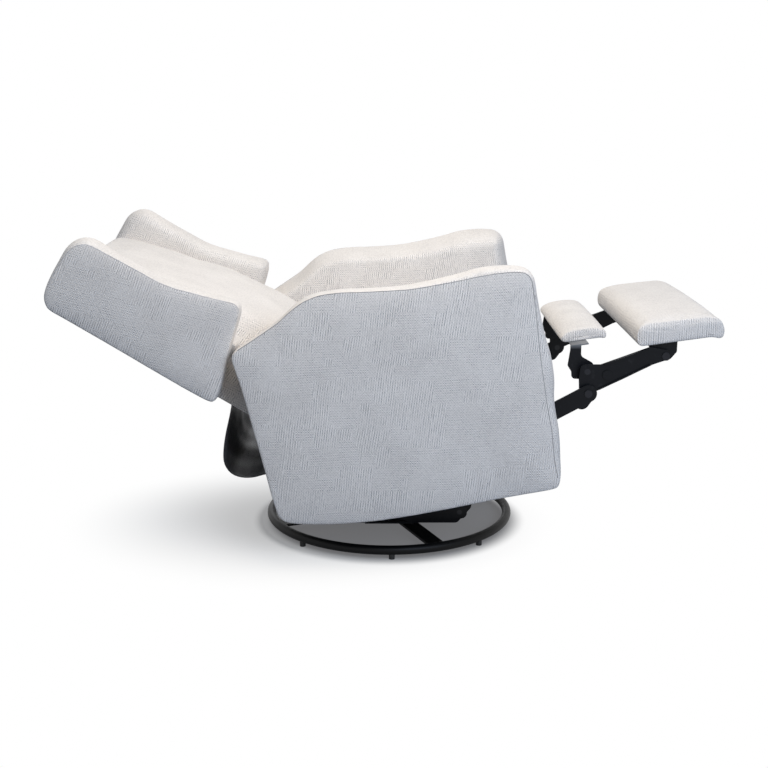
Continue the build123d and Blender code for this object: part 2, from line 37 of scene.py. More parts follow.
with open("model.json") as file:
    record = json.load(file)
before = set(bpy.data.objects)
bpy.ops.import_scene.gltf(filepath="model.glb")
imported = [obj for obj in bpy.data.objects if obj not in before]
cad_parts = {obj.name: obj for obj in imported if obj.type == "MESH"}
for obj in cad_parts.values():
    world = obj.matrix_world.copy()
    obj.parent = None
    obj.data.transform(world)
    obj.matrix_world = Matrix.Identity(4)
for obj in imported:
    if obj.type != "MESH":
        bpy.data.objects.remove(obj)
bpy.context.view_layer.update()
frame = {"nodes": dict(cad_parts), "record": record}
nodes = frame["nodes"]

# how far each part's fabric is turned from level, in degrees, as the chair stands here
lean = {"back": 30.7, "wing": 15, "footrest": 7.8}
backFoot = (-0.325, 0.339)   # lower edge of the back panel, forward and height


# small tools shared by every piece

def clearSelection():
    if bpy.context.object and bpy.context.object.mode != "OBJECT":
        bpy.ops.object.mode_set(mode="OBJECT")
    for thing in bpy.context.selected_objects:
        thing.select_set(False)


def activate(obj):
    clearSelection()
    obj.select_set(True)
    bpy.context.view_layer.objects.active = obj


def editMesh(obj):
    activate(obj)
    bpy.ops.object.mode_set(mode="EDIT")
    bpy.ops.mesh.select_mode(type="VERT")
    bpy.ops.mesh.select_all(action="DESELECT")


def doneEditing():
    bpy.ops.object.mode_set(mode="OBJECT")


def pickFaces(obj, test):
    bpy.ops.mesh.select_mode(type="FACE")
    grid = bmesh.from_edit_mesh(obj.data)
    for face in grid.faces:
        face.select = bool(test(face))
    grid.select_flush_mode()
    bmesh.update_edit_mesh(obj.data)


def drawOut(x, y, z):
    bpy.ops.mesh.extrude_region_move(TRANSFORM_OT_translate={"value": (x, y, z)})


def applyModifier(obj, kind, **settings):
    activate(obj)
    modifier = obj.modifiers.new(kind.title(), kind)
    for key, value in settings.items():
        setattr(modifier, key, value)
    bpy.ops.object.modifier_apply(modifier=modifier.name)


def outwardFaces(obj):
    editMesh(obj)
    bpy.ops.mesh.select_all(action="SELECT")
    bpy.ops.mesh.remove_doubles(threshold=0.00005)
    bpy.ops.mesh.normals_make_consistent(inside=False)
    doneEditing()


def smoothShading(obj, angle=None):
    activate(obj)
    if angle is None:
        bpy.ops.object.shade_smooth()
    else:
        bpy.ops.object.shade_smooth_by_angle(angle=math.radians(angle))


def otherSide(obj, name):
    # the same piece on the right of the chair, with a mesh of its own
    copy = obj.copy()
    copy.data = obj.data.copy()
    copy.name = name
    bpy.context.collection.objects.link(copy)
    activate(copy)
    bpy.ops.transform.resize(value=(-1, 1, 1), center_override=(0, 0, 0))
    bpy.ops.object.transform_apply(location=True, rotation=True, scale=True)
    outwardFaces(copy)
    return copy


def ease(value, low, high):
    # 0 up to low, 1 from high on, and smooth between
    t = max(0.0, min(1.0, (value - low) / (high - low)))
    return t * t * (3 - 2 * t)


def linear(red, green, blue):
    # a colour as picked on screen, made linear
    def one(value):
        value = value / 255
        return value / 12.92 if value <= 0.04045 else ((value + 0.055) / 1.055) ** 2.4
    return (one(red), one(green), one(blue), 1)


# camera, first, at the height and tilt of the photograph

cameraSettings = {"place": (-3.041, 0.013, 1.065), "down": 13.26, "lens": 58.5, "sensor": 36}


def makeCamera(s):
    clearSelection()
    bpy.ops.object.camera_add(location=s["place"],
                              rotation=(math.radians(90 - s["down"]), 0, math.radians(-90)))
    camera = bpy.context.object
    camera.name = "viewCamera"
    camera.data.lens = s["lens"]
    camera.data.sensor_width = s["sensor"]
    bpy.context.scene.camera = camera


makeCamera(cameraSettings)
print("camera ready")


# a short way to add nodes to a material or to the world

class Nodes:
    def __init__(self, owner):
        owner.use_nodes = True
        self.owner = owner
        self.tree = owner.node_tree

    def add(self, kind, **values):
        node = self.tree.nodes.new("ShaderNode" + kind)
        for key, value in values.items():
            if key in node.inputs:
                node.inputs[key].default_value = value
            else:
                setattr(node, key, value)
        return node

    def link(self, start, end):
        self.tree.links.new(start, end)

    def math(self, operation, first, second=None, clamp=False):
        node = self.tree.nodes.new("ShaderNodeMath")
        node.operation = operation
        node.use_clamp = clamp
        for socket, value in zip(node.inputs, (first, second)):
            if value is None:
                continue
            if isinstance(value, (int, float)):
                socket.default_value = value
            else:
                self.link(value, socket)
        return node.outputs[0]

    def plus(self, first, second):
        return self.math("ADD", first, second)

    def minus(self, first, second):
        return self.math("SUBTRACT", first, second)

    def times(self, first, second, clamp=False):
        return self.math("MULTIPLY", first, second, clamp)

    def sine(self, value, rate):
        return self.math("SINE", self.times(value, rate))

    def choose(self, factor, first, second):
        node = self.add("Mix")
        for name, value in (("Factor", factor), ("A", first), ("B", second)):
            self.link(value, node.inputs[name])
        return node.outputs["Result"]

    def mixColor(self, factor, first, second):
        node = self.add("Mix", data_type="RGBA")
        sockets = (node.inputs["Factor"], node.inputs[6], node.inputs[7])
        for socket, value in zip(sockets, (factor, first, second)):
            if isinstance(value, (int, float, tuple)):
                socket.default_value = value
            else:
                self.link(value, socket)
        return node.outputs[2]

    def mixShader(self, factor, first, second):
        node = self.add("MixShader")
        for socket, value in zip(node.inputs, (factor, first, second)):
            self.link(value, socket)
        return node.outputs[0]

    def ramp(self, value, low, high):
        node = self.add("MapRange", **{"From Min": low, "From Max": high})
        self.link(value, node.inputs["Value"])
        return node.outputs["Result"]

    def noise(self, vector, **values):
        node = self.add("TexNoise", **values)
        self.link(vector, node.inputs["Vector"])
        return node.outputs["Fac"]

    def mapped(self, vector, **values):
        node = self.add("Mapping", **values)
        self.link(vector, node.inputs["Vector"])
        return node.outputs["Vector"]

    def split(self, vector):
        node = self.add("SeparateXYZ")
        self.link(vector, node.inputs[0])
        return [node.outputs[axis] for axis in "XYZ"]

    def join(self, x, y):
        node = self.add("CombineXYZ")
        self.link(x, node.inputs["X"])
        self.link(y, node.inputs["Y"])
        return node.outputs[0]

    def seenDirectly(self):
        # 1 for what the camera, a reflection or a clear piece looks at
        rays = self.add("LightPath").outputs
        through = self.math("MAXIMUM", rays["Is Glossy Ray"], rays["Is Transmission Ray"])
        return self.math("MAXIMUM", rays["Is Camera Ray"], through)


class Finish(Nodes):
    # a new material with its shader and its place on the piece at hand
    def __init__(self, name):
        super().__init__(bpy.data.materials.new(name))
        self.shader = self.tree.nodes["Principled BSDF"]
        self.place = self.add("TexCoord")
        self.spot = self.place.outputs["Object"]

    def set(self, values):
        for key, value in values.items():
            self.shader.inputs[key].default_value = value

    def color(self, source):
        self.link(source, self.shader.inputs["Base Color"])

    def bump(self, height, strength, distance):
        node = self.add("Bump", Strength=strength, Distance=distance)
        self.link(height, node.inputs["Height"])
        self.link(node.outputs["Normal"], self.shader.inputs["Normal"])


# cream patchwork weave: blocks of level dashes and of upright dashes

weaveSettings = {
    "light": linear(253, 247, 239),
    "mid": linear(229, 222, 213),
    "dark": linear(150, 145, 141),
    "lift": 1.55, "sink": 0.98,             # how far floats lighten and gaps darken
    "pitch": 0.0056,                        # from one row of floats to the next
    "float": 0.0105,                        # length of a float
    "cross": 0.0051, "parting": 0.70,       # threads over the floats: their pitch and depth
    "spread": 0.9, "shown": (0.33, 0.55),   # how often a float goes under
    # the upright rows, next to the level ones
    "uprightPitch": 0.93, "uprightFloat": 1.5, "uprightParting": 0.34,
    "patchWide": 0.066, "patchTall": 0.050,
    "smallWide": 0.63, "smallTall": 0.57,   # the second, smaller set of blocks
    "bigShare": 0.62, "smallShare": 0.38, "uprightFrom": 0.47,
    "shuffle": 7.31, "strength": 0.75, "weakest": 0.3,
    "gridPitch": 0.0067, "grid": 0.20,
    "slant": 0.13, "climb": 0.03,           # rows don't run quite square
    "waver": 7.0, "drift": 0.010,
    "flatCalm": 0.78, "flatGrid": 0.8,      # laid flat, as on the seat, the weave reads finer
    "yarn": 4200.0, "slub": 0.9, "broad": 0.5,
    "bump": 0.4, "bumpDepth": 0.0008, "reliefShare": 0.7, "yarnShare": 0.12,
}


def patches(n, vector, wide, tall, offset):
    # random block value, used to turn the rows from block to block
    bricks = n.add("TexBrick", offset=offset, offset_frequency=2, squash=0.72, squash_frequency=3,
                   Scale=1.0, Color1=(1, 1, 1, 1), Color2=(0, 0, 0, 1), Mortar=(0.5, 0.5, 0.5, 1),
                   **{"Mortar Size": 0, "Brick Width": wide, "Row Height": tall})
    n.link(vector, bricks.inputs["Vector"])
    return bricks.outputs["Color"]


def floats(n, along, across, s):
    # rows of yarn that come to the face and go under again
    row = n.sine(across, 2 * math.pi / s["pitch"])
    spread = n.join(n.times(along, s["spread"] / s["float"]),
                    n.times(across, s["spread"] / s["pitch"]))
    breaks = n.noise(spread, Scale=1.0, Detail=1.0, Roughness=0.4)
    cross = n.sine(along, 2 * math.pi / s["cross"])
    parted = n.plus(n.times(cross, s["parting"]), 1.0 - s["parting"])
    return n.times(n.times(row, parted), n.ramp(breaks, *s["shown"]))


def makeWeave(name, s, turn=0.0):
    # the weave lies in the plane that each place faces; turn follows the panel's cut
    n = Finish(name)
    cut = (math.radians(turn), 0, 0)
    x, y, z = n.split(n.mapped(n.spot, Rotation=cut))
    facing = n.split(n.mapped(n.place.outputs["Normal"], Rotation=cut))
    side, front, top = [n.math("ABSOLUTE", part) for part in facing]
    isSide = n.math("GREATER_THAN", side, n.math("MAXIMUM", front, top))
    isTop = n.math("GREATER_THAN", top, front)
    flatTop = n.times(isTop, n.minus(1.0, isSide))
    drift = n.times(n.minus(n.noise(n.spot, Scale=s["waver"], Detail=1.0), 0.5), s["drift"])
    u = n.plus(n.choose(isSide, x, y), drift)    # across: Y on a side panel, X elsewhere
    v = n.plus(n.choose(flatTop, z, y), drift)   # up: Y on a top, Z elsewhere
    slanted = n.plus(u, n.times(v, s["slant"]))
    climbing = n.plus(v, n.times(u, s["climb"]))
    # level rows in some blocks, upright rows in the others
    levelRows = floats(n, u, climbing, s)
    upright = dict(s, parting=s["uprightParting"], pitch=s["pitch"] * s["uprightPitch"],
                   float=s["float"] * s["uprightFloat"])
    uprightRows = floats(n, v, slanted, upright)
    plane = n.join(u, v)
    big = patches(n, plane, s["patchWide"], s["patchTall"], 0.45)
    small = patches(n, plane, s["patchWide"] * s["smallWide"], s["patchTall"] * s["smallTall"], 0.3)
    blocks = n.plus(n.times(big, s["bigShare"]), n.times(small, s["smallShare"]))
    rows = n.choose(n.math("GREATER_THAN", blocks, s["uprightFrom"]), levelRows, uprightRows)
    strength = n.math("FRACT", n.times(blocks, s["shuffle"]))
    strength = n.plus(n.times(strength, s["strength"]), s["weakest"])
    strength = n.times(strength, n.minus(1.0, n.times(flatTop, s["flatCalm"])))
    gridTurn = 2 * math.pi / s["gridPitch"]
    grid = n.times(n.sine(slanted, gridTurn), n.sine(climbing, gridTurn))
    grid = n.times(grid, n.minus(s["grid"], n.times(flatTop, s["grid"] * s["flatGrid"])))
    relief = n.plus(n.times(rows, strength), grid)
    # thin yarns under the floats and a little slub, for a close look
    yarn = n.times(n.sine(u, s["yarn"]), n.sine(v, s["yarn"]))
    slub = n.noise(n.spot, Scale=230.0, Detail=2.0, Roughness=0.6)
    broad = n.noise(n.spot, Scale=11.0, Detail=3.0, Roughness=0.55)
    tone = n.plus(relief, n.times(n.minus(slub, 0.5), s["slub"]))
    tone = n.plus(tone, n.times(n.minus(broad, 0.5), s["broad"]))
    lighter = n.mixColor(n.times(tone, s["lift"], clamp=True), s["mid"], s["light"])
    n.color(n.mixColor(n.times(tone, -s["sink"], clamp=True), lighter, s["dark"]))
    n.set({"Roughness": 0.88, "Sheen Weight": 0.12, "Sheen Roughness": 0.5,
           "Specular IOR Level": 0.22})
    height = n.plus(n.times(relief, s["reliefShare"]), n.times(yarn, s["yarnShare"]))
    n.bump(height, s["bump"], s["bumpDepth"])
    return n.owner


weave = makeWeave("weaveBody", weaveSettings)
weaveBack = makeWeave("weaveBack", weaveSettings, -lean["back"])
weaveWing = makeWeave("weaveWing", weaveSettings, -lean["wing"])
weaveRest = makeWeave("weaveFootrest", weaveSettings, lean["footrest"])


# black powder coat, steel, rubber, plastics, wood and black cloth for the works

coatSettings = {
    "blackPaint": {"color": linear(5, 5, 6), "roughness": 0.42, "grainScale": 260.0, "grain": 0.12,
                   "gloss": 0.14},
    "blackSteel": {"color": linear(6, 8, 13), "roughness": 0.42, "wear": 0.04, "gloss": 0.16},
    # the posts of the small pad are bare near the top
    "blackSteelPost": {"color": linear(6, 8, 13), "roughness": 0.42, "wear": 0.04, "gloss": 0.16,
                       "bareAbove": 0.487},
    "zincSteel": {"color": linear(150, 150, 152), "roughness": 0.36, "metallic": 0.9,
                  "grainScale": 500.0, "grain": 0.1},
    "darkRivet": {"color": linear(18, 20, 27), "roughness": 0.32, "grainScale": 500.0, "grain": 0.1,
                  "gloss": 0.28},
    "rubberFoot": {"color": linear(22, 22, 22), "roughness": 0.7, "grainScale": 600.0},
    "nylonRace": {"color": linear(214, 210, 200), "roughness": 0.5, "grainScale": 500.0,
                  "grain": 0.1},
    "blackPlastic": {"color": linear(26, 26, 28), "roughness": 0.5, "grainScale": 1400.0,
                     "grain": 0.4},
    # the seams' thread, darker than the cloth: partly the thread itself, partly painted shade for
    # the groove along the seam
    "seamThreadAndShade": {"color": linear(158, 153, 149), "roughness": 0.9, "grainScale": 1500.0},
    "seamThreadAndShadePale": {"color": linear(206, 202, 198), "roughness": 0.9, "grainScale": 1500.0},
}


def makeCoat(name, color, roughness, metallic=0.0, grainScale=900.0, grain=0.25, wear=0.0,
             gloss=0.5, bareAbove=None):
    n = Finish(name)
    speck = n.noise(n.spot, Scale=grainScale, Detail=2.0)
    cloud = n.noise(n.spot, Scale=14.0, Detail=4.0)
    lighter = tuple(min(1, channel * 1.6 + 0.002) for channel in color[:3]) + (1,)
    mixed = n.mixColor(n.times(n.ramp(cloud, 0.35, 0.75), 0.4), color, lighter)
    if wear:
        rub = n.ramp(n.noise(n.spot, Scale=70.0, Detail=5.0), 0.62, 0.74)
        mixed = n.mixColor(n.times(rub, wear), mixed, linear(120, 120, 122))
    if bareAbove:
        height = n.split(n.spot)[2]
        bare = n.ramp(height, bareAbove, bareAbove + 0.012)
        mixed = n.mixColor(bare, mixed, linear(128, 129, 130))
    n.color(mixed)
    n.set({"Metallic": metallic, "Specular IOR Level": gloss})
    n.link(n.plus(n.times(cloud, 0.16), roughness - 0.08), n.shader.inputs["Roughness"])
    n.bump(speck, grain, 0.0003)
    return n.owner


def makeWood(name):
    n = Finish(name)
    stretched = n.mapped(n.spot, Scale=(2.2, 30, 30))
    grain = n.noise(stretched, Scale=3.0, Detail=6.0, Roughness=0.65, Distortion=0.8)
    rings = n.add("TexWave", Scale=1.6, Distortion=6.0, Detail=3.0, bands_direction="Z")
    n.link(stretched, rings.inputs["Vector"])
    tone = n.mixColor(n.ramp(grain, 0.3, 0.7), linear(176, 140, 98), linear(214, 184, 142))
    n.color(n.mixColor(n.times(rings.outputs["Fac"], 0.3), tone, linear(150, 112, 76)))
    n.set({"Roughness": 0.72})
    n.bump(grain, 0.3, 0.0006)
    return n.owner


def makeBlackCloth(name):
    n = Finish(name)
    x, y, z = n.split(n.spot)
    threads = n.times(n.sine(x, 3600.0), n.sine(n.plus(z, y), 3600.0))
    cloud = n.noise(n.spot, Scale=18.0, Detail=4.0)
    n.color(n.mixColor(n.ramp(cloud, 0.3, 0.75), linear(8, 9, 12), linear(26, 29, 36)))
    n.set({"Roughness": 0.46, "Sheen Weight": 0.16, "Sheen Roughness": 0.4,
           "Specular IOR Level": 0.34})
    n.bump(threads, 0.2, 0.0004)
    return n.owner


coats = {name: makeCoat(name, **values) for name, values in coatSettings.items()}
blackCloth = makeBlackCloth("blackCloth")

finishOf = {"black_metal": coats["blackSteel"], "steel": coats["zincSteel"],
            "rubber": coats["rubberFoot"], "nylon": coats["nylonRace"],
            "black_plastic": coats["blackPlastic"], "wood": makeWood("frameWood"),
            "black_cloth": blackCloth, "woven_fabric": weave}
# nodes that are painted, riveted or covered otherwise than the rest of their kind
ownFinish = {"base_ring": coats["blackPaint"], "cross_bars": coats["blackPaint"],
             "ottoman_board": weaveRest, "flipper_board": weaveRest, "seat_front_rail": weave}
for rivets in ("knee_pins", "toe_pins", "flip_pins", "side_pins", "hanger_upper_pins",
               "hanger_lower_pins"):
    ownFinish[rivets] = coats["darkRivet"]


def finishNodes():
    for part in frame["record"]["subparts"]:
        name = part["node"]
        finish = ownFinish.get(name, finishOf[part["material_slot"]])
        if name.startswith("flipper_arm"):
            finish = coats["blackSteelPost"]
        nodes[name].data.materials.clear()
        nodes[name].data.materials.append(finish)


finishNodes()
print("materials ready")


# floor and light

stageSettings = {
    "floorSize": 40, "seenFloor": linear(252, 245, 234), "litFloor": linear(74, 76, 84),
    "white": (1, 1, 1, 1),
    # the shadow is kept on an oval of floor and fades into white round it
    "wide": {"middle": (-0.02, 0.20), "reach": (0.50, 0.64), "from": 0.25, "to": 1.0},
    # and under the ring it turns into a flat grey, a painted shadow that the floor gives off as
    # glow
    "ring": {"middle": (0.0, 0.0), "reach": (0.31, 0.31), "from": 0.93, "to": 1.13},
    "paintedShadowGrey": linear(112, 112, 114), "paintedShadowGreyShare": 0.80, "outside": 0.58,
}


def makeFloor(s):
    clearSelection()
    bpy.ops.mesh.primitive_plane_add(size=s["floorSize"], location=(0, 0, 0))
    floor = bpy.context.object
    floor.name = "studioFloor"
    n = Finish("studioFloorPale")
    n.set({"Roughness": 0.9, "Specular IOR Level": 0.1})

    def kept(area):
        # 1 inside the oval, fading to 0 past it
        middle = tuple(-a / b for a, b in zip(area["middle"], area["reach"])) + (0,)
        oval = n.mapped(n.spot, Location=middle, Scale=tuple(1 / b for b in area["reach"]) + (1,))
        length = n.add("VectorMath", operation="LENGTH")
        n.link(oval, length.inputs[0])
        far = n.add("MapRange", interpolation_type="SMOOTHSTEP",
                    **{"From Min": area["from"], "From Max": area["to"]})
        n.link(length.outputs["Value"], far.inputs["Value"])
        return n.minus(1.0, far.outputs["Result"])

    # under is 1 on the oval under the ring, where the painted shadow grey goes
    under = kept(s["ring"])
    share = n.plus(n.times(under, 1 - s["outside"]), s["outside"])
    clear = n.minus(1.0, n.times(kept(s["wide"]), share))
    clear = n.math("MAXIMUM", clear, n.times(under, s["paintedShadowGreyShare"]))
    seen = n.seenDirectly()
    n.color(n.mixColor(seen, s["litFloor"], s["seenFloor"]))
    # the glow is white round the chair and the painted shadow grey under the ring
    glow = n.add("Emission", Strength=1.0)
    n.link(n.mixColor(under, s["white"], s["paintedShadowGrey"]), glow.inputs["Color"])
    both = n.mixShader(n.times(clear, seen), n.shader.outputs[0], glow.outputs[0])
    n.link(both, n.tree.nodes["Material Output"].inputs["Surface"])
    floor.data.materials.append(n.owner)


lightSettings = {
    "world": (0.74, 0.84, 1.0), "worldStrength": 0.46,
    "lamps": {
        # above the near side, so that tops are bright and the sides darken downwards
        "key": {"place": (-0.45, -0.1, 2.5), "aim": (0, -0.05, 0.4), "size": (0.9, 2.8),
                "power": 26, "color": (1.0, 0.89, 0.74)},
        # between the arms, for the inside of the far arm and wing
        "inner": {"place": (-0.30, 0.1, 1.8), "aim": (0.35, 0.1, 0.6), "size": (0.12, 1.8),
                  "power": 2.6, "color": (1.0, 0.97, 0.94)},
        "fill": {"place": (-2.8, -1.4, 1.9), "aim": (0, 0, 0.5), "size": (1.8, 1.4),
                 "power": 52, "color": (0.64, 0.77, 1.0)},
        # soft, so that the side away from the camera isn't left in the dark
        "far": {"place": (3.0, 0.5, 1.7), "aim": (0, 0, 0.5), "size": (1.8, 1.8),
                "power": 14, "color": (0.94, 0.96, 1.0)},
    },
}


def makeLamp(name, lamp):
    bpy.ops.object.light_add(type="AREA", location=lamp["place"])
    light = bpy.context.object
    light.name = name
    light.data.shape = "RECTANGLE"
    light.data.size, light.data.size_y = lamp["size"]
    light.data.energy = lamp["power"]
    light.data.color = lamp["color"]
    aim = Vector(lamp["aim"]) - Vector(lamp["place"])
    light.rotation_euler = aim.to_track_quat("-Z", "Y").to_euler()


def makeLights(s):
    for name, lamp in s["lamps"].items():
        makeLamp(name + "Light", lamp)
    world = bpy.data.worlds.new("studioWorld")
    bpy.context.scene.world = world
    n = Nodes(world)
    lit = n.tree.nodes["Background"]
    lit.inputs["Color"].default_value = s["world"] + (1,)
    lit.inputs["Strength"].default_value = s["worldStrength"]
    white = n.add("Background", Color=(1, 1, 1, 1))
    both = n.mixShader(n.seenDirectly(), lit.outputs[0], white.outputs[0])
    n.link(both, n.tree.nodes["World Output"].inputs["Surface"])
    bpy.context.scene.view_settings.view_transform = "Standard"


makeFloor(stageSettings)
makeLights(lightSettings)
print("floor and light ready")


# outlines drawn from a short table and made smooth

def curvePoint(a, b, c, d, t):
    # on a smooth curve through four points, at share t between the middle two
    return tuple(0.5 * (2 * q + (r - p) * t + (2 * p - 5 * q + 4 * r - w) * t * t
                        + (3 * q - p - 3 * r + w) * t ** 3) for p, q, r, w in zip(a, b, c, d))


def lengthsAlong(points):
    lengths = [0.0]
    for p, q in zip(points, points[1:]):
        lengths.append(lengths[-1] + math.hypot(q[0] - p[0], q[1] - p[1]))
    return lengths


def stretchAt(points, lengths, target):
    # the two points round a length along the line, and the place between them
    at = 0
    while at < len(lengths) - 2 and lengths[at + 1] < target:
        at += 1
    share = (target - lengths[at]) / max(lengths[at + 1] - lengths[at], 1e-9)
    p, q = points[at], points[at + 1]
    return p, q, tuple(x + (y - x) * share for x, y in zip(p, q))


def smoothLoop(table, spacing):
    # rows are (forward, height, stand) in mm: stand is how far the band swells past the seam
    rows = [tuple(value / 1000 for value in row) for row in table]
    count = len(rows)
    fine = []
    for index in range(count):
        a, b, c, d = (rows[(index + k) % count] for k in (-1, 0, 1, 2))
        fine += [curvePoint(a, b, c, d, step / 12) for step in range(12)]
    fine.append(fine[0])
    lengths = lengthsAlong(fine)
    wanted = int(lengths[-1] / spacing)
    return [stretchAt(fine, lengths, lengths[-1] * index / wanted)[2] for index in range(wanted)]


def loopNormals(loop):
    # outward directions of a loop in (forward, height)
    area = sum(p[0] * q[1] - q[0] * p[1] for p, q in zip(loop, loop[1:] + loop[:1]))
    turn = 1 if area > 0 else -1
    result = []
    for index in range(len(loop)):
        before, after = loop[index - 1], loop[(index + 1) % len(loop)]
        run, rise = after[0] - before[0], after[1] - before[1]
        length = math.hypot(run, rise) or 1
        result.append((turn * rise / length, -turn * run / length))
    return result


def nearestOn(loop):
    # a function that says which point of the loop is nearest to a place
    tree = kdtree.KDTree(len(loop))
    for index, point in enumerate(loop):
        tree.insert((0, -point[0], point[1]), index)
    tree.balance()
    return lambda place: tree.find((0, place.y, place.z))[1]


def edgeDistance(forward, height, loop):
    best = 1e9
    for p, q in zip(loop, loop[1:] + loop[:1]):
        run, rise = q[0] - p[0], q[1] - p[1]
        size = run * run + rise * rise or 1e-12
        t = max(0.0, min(1.0, ((forward - p[0]) * run + (height - p[1]) * rise) / size))
        best = min(best, math.hypot(forward - p[0] - run * t, height - p[1] - rise * t))
    return best


def drawFace(name, points):
    # one corner of a plane, drawn on point by point round the outline; stays in edit mode
    clearSelection()
    bpy.ops.mesh.primitive_plane_add(size=0.002, location=points[0])
    obj = bpy.context.object
    obj.name = name
    bpy.ops.object.transform_apply(location=True, rotation=False, scale=False)
    bpy.ops.object.mode_set(mode="EDIT")
    bpy.ops.mesh.select_mode(type="VERT")
    bpy.ops.mesh.select_all(action="SELECT")
    bpy.ops.mesh.merge(type="CENTER")
    for p, q in zip(points, points[1:]):
        step = tuple(b - a for a, b in zip(p, q))
        bpy.ops.mesh.extrude_vertices_move(TRANSFORM_OT_translate={"value": step})
    bpy.ops.mesh.select_all(action="SELECT")
    bpy.ops.mesh.edge_face_add()
    return obj


def drawLoop(name, loop, side):
    return drawFace(name, [(side, -point[0], point[1]) for point in loop])


# arms and wings: upholstered side panels with a swelling band

def boxedPanel(name, s):
    loop = smoothLoop(s["seam"], s["spacing"])
    normals = loopNormals(loop)
    rings = s["rings"]
    obj = drawLoop(name, loop, rings[0][0])
    for ring, following in zip(rings, rings[1:]):
        drawOut(following[0] - ring[0], 0, 0)
    doneEditing()
    nearest = nearestOn(loop)
    for vert in obj.data.vertices:
        index = nearest(vert.co)
        ring = min(rings, key=lambda entry: abs(entry[0] - vert.co.x))
        reach = loop[index][2] * ring[1] + ring[2]
        vert.co.y -= normals[index][0] * reach
        vert.co.z += normals[index][1] * reach
    outwardFaces(obj)
    puffOut(obj, loop, s)
    return obj, loop


def puffOut(obj, loop, s):
    # the two flat faces are cut into a grid, so that they can be padded out
    inner, outer = s["rings"][0][0] + 0.0005, s["rings"][-1][0] - 0.0005

    def flat(face):
        x = face.calc_center_median().x
        return abs(face.normal.x) > 0.99 and (x < inner or x > outer)

    spans = []
    for axis, direction in ((1, (0, 1, 0)), (2, (0, 0, 1))):
        places = [vert.co[axis] for vert in obj.data.vertices]
        spans.append((axis, direction, min(places), max(places)))
    editMesh(obj)
    for axis, direction, low, high in spans:
        steps = int((high - low) / s["grid"])
        for index in range(1, steps):
            pickFaces(obj, flat)
            at = [0, 0, 0]
            at[axis] = low + (high - low) * index / steps
            bpy.ops.mesh.bisect(plane_co=at, plane_no=direction, use_fill=False)
    doneEditing()
    for vert in obj.data.vertices:
        if inner <= vert.co.x <= outer:
            continue
        away = edgeDistance(-vert.co.y, vert.co.z, loop)
        rise = 1 - math.exp(-away / s["puffReach"])
        vert.co.x += rise * s["puff"] if vert.co.x > outer else -rise * s["innerPuff"]


def seamTube(name, points, radius, material):
    # a thin sewn line, as a tube that lies on the fabric; its thread is darker than the cloth, as
    # painted shade for the seam's groove
    clearSelection()
    bpy.ops.curve.primitive_bezier_curve_add()
    obj = bpy.context.object
    obj.name = name
    obj.matrix_world.identity()
    obj.data.splines.clear()
    spline = obj.data.splines.new("POLY")
    spline.points.add(len(points) - 1)
    for slot, point in zip(spline.points, points):
        slot.co = tuple(point) + (1,)
    obj.data.bevel_depth = radius
    obj.data.bevel_resolution = 1
    obj.data.dimensions = "3D"
    activate(obj)
    bpy.ops.object.convert(target="MESH")
    obj = bpy.context.object
    obj.data.materials.clear()
    obj.data.materials.append(material)
    smoothShading(obj)
    return obj


def makeSidePair(kind, s, body, fabric, threadAndGrooveShade):
    panel, loop = boxedPanel(kind + "Left", s)
    applyModifier(panel, "SUBSURF", levels=1, render_levels=1)
    smoothShading(panel)
    panel.data.materials.append(fabric)
    points = [(s["seamSide"], -p[0], p[1]) for p in loop if s["seamShows"](p)]
    seam = seamTube(kind + "Seam_outerLeft", points, s["seamRadius"], threadAndGrooveShade)
    for piece in (panel, seam):
        right = otherSide(piece, piece.name.replace("Left", "Right"))
        for obj, label in ((piece, "left"), (right, "right")):
            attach(obj, body)
            if piece is panel:
                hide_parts(kind + "_" + label)


armSettings = {
    # forward, height and how far the band swells past the seam, in mm
    "seam": [(-340, 508.5, 1), (-291, 542, 1), (-243, 575.5, 2), (-216, 600, 3), (-189, 620, 4),
             (-159, 633.6, 3), (-133, 639, 2), (-103, 642.2, 3), (-60, 643.4, 3), (0, 646.5, 3.5),
             (47, 650, 6), (107, 660.3, 8), (155, 669.5, 11), (198, 678.7, 14), (240, 684.8, 12),
             (266, 686.6, 10), (289, 684.3, 9), (302, 670, 9), (308, 640, 9), (314, 600, 11),
             (321, 540, 19), (327, 495, 27), (336, 441, 27), (342, 404, 21), (350, 363, 19),
             (356, 335, 19), (360, 300, 19), (364, 267, 17), (371, 234, 12), (375, 212, 5),
             (367, 203, 2), (300, 190, 2), (235, 178, 2), (131, 156, 2), (31, 137, 2),
             (-46, 126, 2), (-123, 120, 2), (-190, 120, 3), (-230, 124, 4), (-247, 138, 4),
             (-260, 180, 4), (-274, 238, 4), (-304, 358, 4), (-326, 440, 3), (-343, 494, 1)],
    # distance from the middle of the chair, share of the swell, and roll towards the inside
    "rings": [(0.2815, 0.0, -0.028), (0.2825, 0.1, -0.0225), (0.2865, 0.3, -0.018),
              (0.294, 0.5, -0.0145), (0.306, 0.75, -0.0105), (0.322, 0.9, -0.0065),
              (0.340, 0.97, -0.0028), (0.357, 1.0, 0.0), (0.374, 0.95, 0.0), (0.387, 0.75, 0.0),
              (0.3950, 0.4, 0.0), (0.3975, 0.0, 0.0)],
    "spacing": 0.012, "grid": 0.014, "puff": 0.006, "innerPuff": 0.001, "puffReach": 0.035,
    "seamSide": 0.3972, "seamRadius": 0.0008,
    # the sewn line shows over the top and down the front
    "seamShows": lambda p: p[1] > 0.51 or (p[0] > 0 and p[1] > 0.22),
}

makeSidePair("arm", armSettings, "seat_body", weave, coats["seamThreadAndShade"])
print("arms ready")


